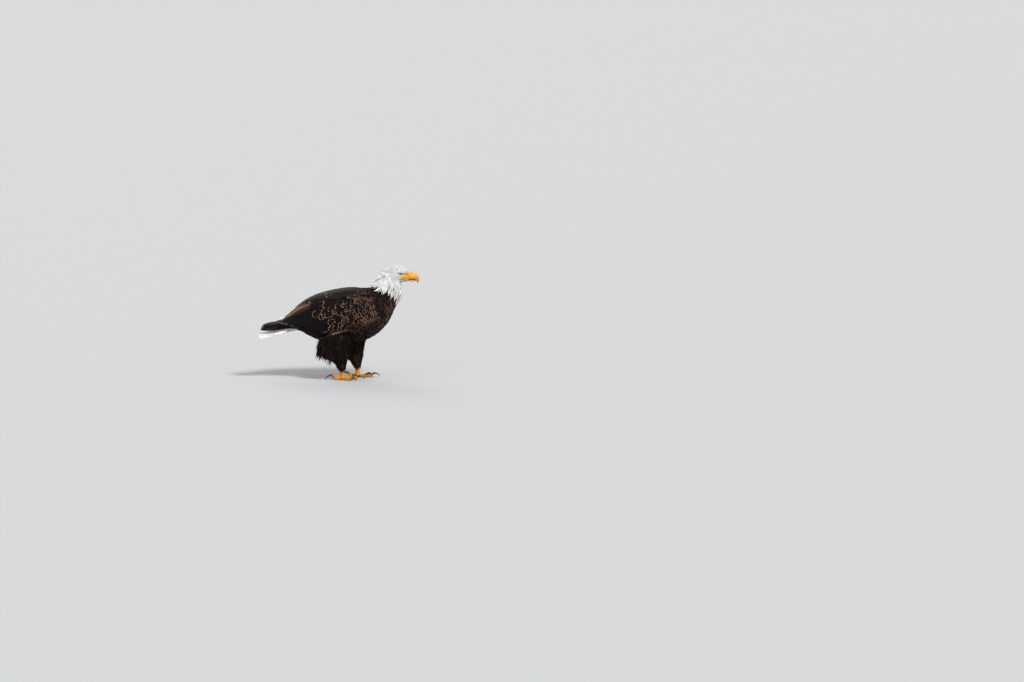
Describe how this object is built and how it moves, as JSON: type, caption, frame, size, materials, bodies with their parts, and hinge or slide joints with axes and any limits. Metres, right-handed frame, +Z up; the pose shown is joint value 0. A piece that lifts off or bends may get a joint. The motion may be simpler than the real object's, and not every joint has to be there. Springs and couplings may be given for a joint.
{
  "type": "bald eagle model",
  "caption": "Life-size standing bald eagle, a still museum-style figure with hooked bill, folded wings, white head and tail, and taloned feet.",
  "frame": {"origin": "on the floor, under the middle of the bird's box", "axes": "+X forward, the way the bill points; +Y the bird's left; +Z up"},
  "size_m": [0.758, 0.23, 0.5347],
  "materials": {
    "white_feather": "matt white feather vanes",
    "dark_feather": "dark brown feather vanes with paler rusty fringes, faint sheen",
    "black_quill": "blackish flight feathers, satin",
    "bill_horn": "smooth orange-yellow horn, satin",
    "foot_skin": "scaly orange-yellow skin",
    "claw_horn": "polished black horn",
    "eye": "wet pale yellow eye with a black pupil"
  },
  "bodies": {
    "root": {"head": "white_feather", "neck": "white_feather", "trunk": "dark_feather", "tail": "white_feather", "bill_upper": "bill_horn", "bill_lower": "bill_horn", "wing_left": "dark_feather", "secondaries_left": "dark_feather", "primaries_left": "black_quill", "leg_left": "dark_feather", "foot_left": "foot_skin", "eye_left": "eye", "claw_middle_left": "claw_horn", "claw_inner_left": "claw_horn", "claw_outer_left": "claw_horn", "claw_hind_left": "claw_horn", "wing_right": "dark_feather", "secondaries_right": "dark_feather", "primaries_right": "black_quill", "leg_right": "dark_feather", "foot_right": "foot_skin", "eye_right": "eye", "claw_middle_right": "claw_horn", "claw_inner_right": "claw_horn", "claw_outer_right": "claw_horn", "claw_hind_right": "claw_horn"}
  },
  "joints": []
}
